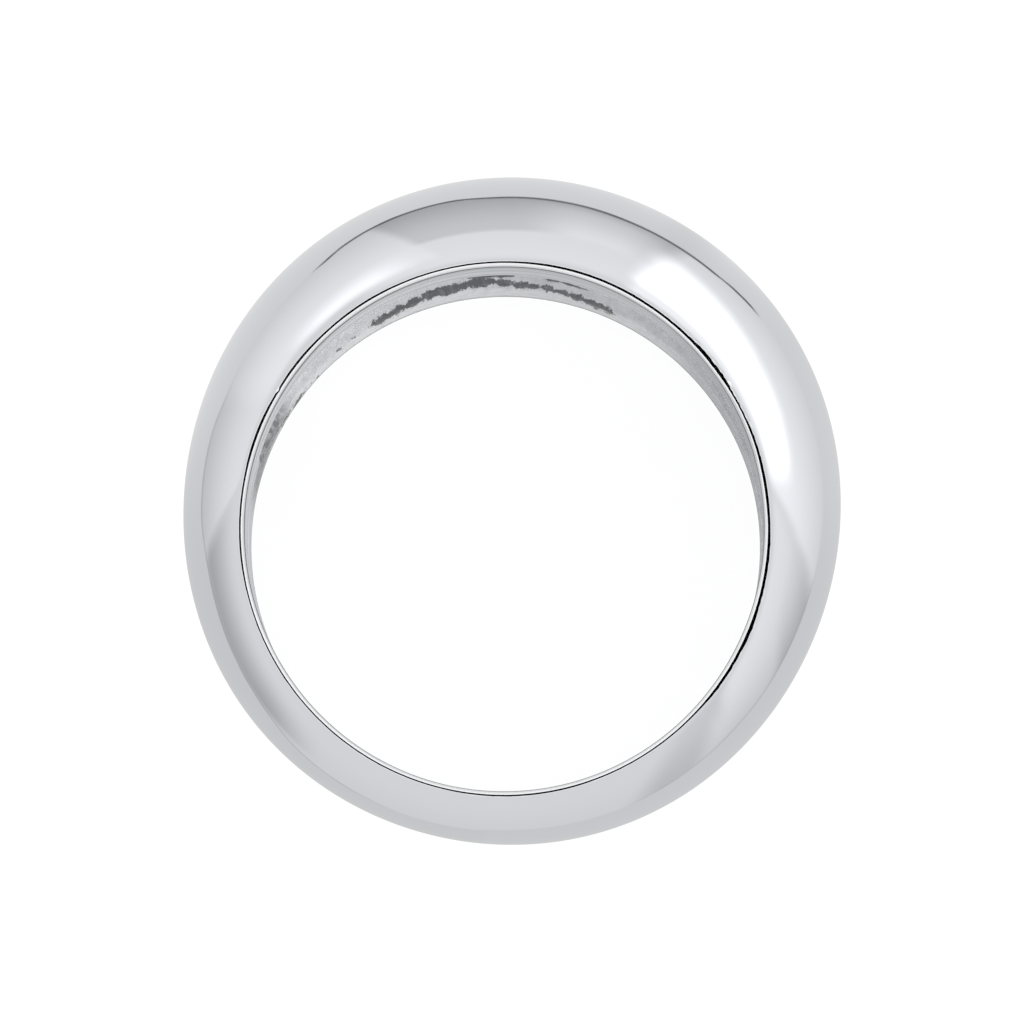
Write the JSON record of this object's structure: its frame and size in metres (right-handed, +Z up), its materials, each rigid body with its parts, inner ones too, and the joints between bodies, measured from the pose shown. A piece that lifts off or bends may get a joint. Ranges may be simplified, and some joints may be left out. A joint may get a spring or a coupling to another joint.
{
  "type": "chunky domed band ring",
  "caption": "Chunky finger ring: one polished metal band with a wide hollow-backed dome that narrows and thins towards the back of the finger.",
  "frame": {"origin": "middle of the ring's outline on the surface that it lies on", "axes": "+Z up from the surface that the ring lies on; +Y towards the crown of the dome; the ring is the same on both sides of X = 0; the finger hole leans 8.92 degrees from +Z towards -Y, because the band tapers"},
  "size_m": [0.022, 0.0224, 0.0109],
  "materials": {
    "polished_metal": "mirror-polished silver colour outside, on the edges and on the ledges inside; pale as-cast skin in the hollow"
  },
  "bodies": {
    "root": {"band": "polished_metal"}
  },
  "joints": []
}
